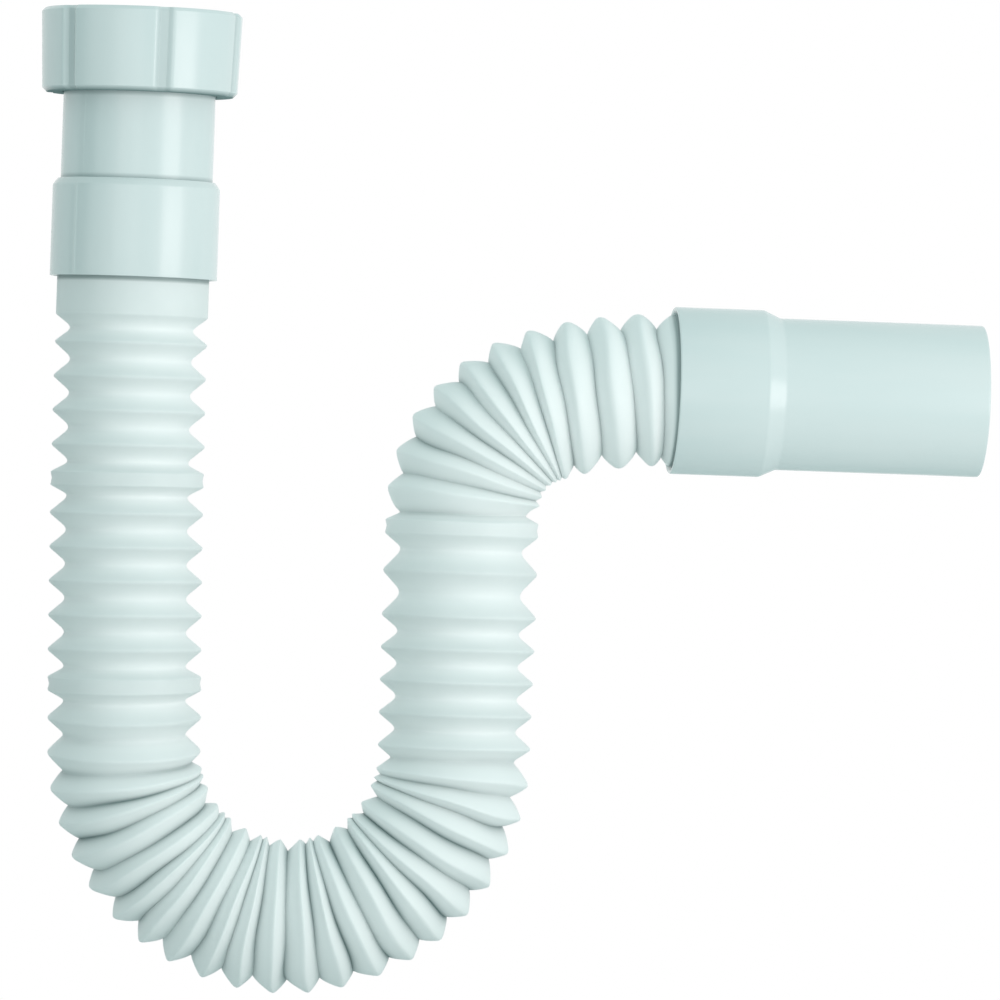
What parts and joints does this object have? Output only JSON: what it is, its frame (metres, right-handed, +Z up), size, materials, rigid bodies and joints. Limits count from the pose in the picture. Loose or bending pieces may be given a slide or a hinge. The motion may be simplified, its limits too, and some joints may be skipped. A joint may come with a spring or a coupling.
{
  "type": "flexible sink trap",
  "caption": "Flexible sink trap: a lobed union nut and flanged neck above a pleated hose bent into a U water seal and an elbow, with a plain outlet tail for a drain.",
  "frame": {"origin": "middle of the sealing face, the top of the washer inside the union nut, on the inlet's axis", "axes": "+Z up the inlet towards the sink, the hose lies about the XZ plane, +X the way the outlet tail points, which is swung 5 degrees towards +Y"},
  "size_m": [0.2525, 0.0549, 0.2571],
  "materials": {
    "fitting": "glossy moulded polypropylene, cool white",
    "hose": "satin blow-moulded polypropylene, cool white",
    "rubber": "matte black rubber"
  },
  "bodies": {
    "inlet": {"flanged_neck": "fitting", "inlet_sleeve": "fitting", "inlet_washer": "rubber", "inlet_seal_ring": "rubber"},
    "nut": {"union_nut": "fitting"},
    "hose": {"hose": "hose"},
    "outlet": {"outlet_tail": "fitting", "outlet_seal_ring": "rubber"}
  },
  "joints": [
    {"name": "nut_spin", "type": "hinge", "parent": "inlet", "child": "nut", "pos_m": [0, 0, 0], "axis": [0, 0, 1], "continuous": true},
    {"name": "drop_leg_stretch", "type": "slide", "parent": "inlet", "child": "hose", "axis": [0, 0, -1], "range_m": [-0.04, 0.035], "deforming": ["hose"]},
    {"name": "outlet_tilt", "type": "hinge", "parent": "hose", "child": "outlet", "pos_m": [0.12552, 0.00037, -0.08423], "axis": [0, -1, 0], "range_deg": [-25, 25], "deforming": ["hose"]}
  ]
}
